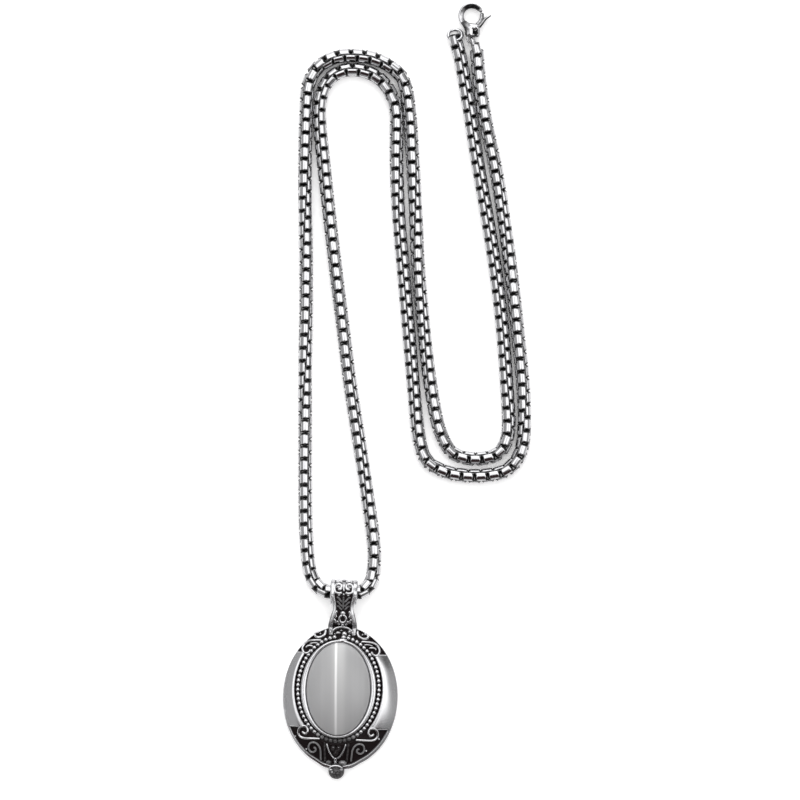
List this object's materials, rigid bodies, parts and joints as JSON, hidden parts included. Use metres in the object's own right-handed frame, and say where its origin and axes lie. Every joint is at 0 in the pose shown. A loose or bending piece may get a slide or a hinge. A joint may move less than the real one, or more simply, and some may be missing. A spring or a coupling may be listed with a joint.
{
  "type": "oval cabochon pendant necklace",
  "caption": "Oval pendant with a grey cat's-eye cabochon in an antiqued scroll setting, on a rounded box chain with a lobster clasp, lying unfastened in nested loops.",
  "frame": {"origin": "on the surface that the necklace lies on, below the middle of its laid-out box", "axes": "+X to the right and +Y up as seen from above, along the laid length towards the clasp; +Z up, out of the pendant's front"},
  "size_m": [0.0568, 0.1788, 0.007],
  "materials": {
    "antiqued_metal": "cast, oxidised in the recesses and polished on the raised parts",
    "cats_eye": "polished grey cat's-eye cabochon with a soft white streak",
    "polished_metal": "polished"
  },
  "bodies": {
    "necklace": {"pendant": "antiqued_metal", "cabochon": "cats_eye", "chain": "polished_metal", "end_ring": "polished_metal", "jump_ring": "polished_metal", "clasp_body": "polished_metal"},
    "lever": {"clasp_lever": "polished_metal"}
  },
  "joints": [
    {"name": "lever_hinge", "type": "hinge", "parent": "necklace", "child": "lever", "pos_m": [0.01565, 0.08365, 0.0013], "axis": [0, 0, -1], "range_deg": [0, 25], "stiffness_Nm_per_rad": 0.0004, "springref_deg": -11.46}
  ]
}
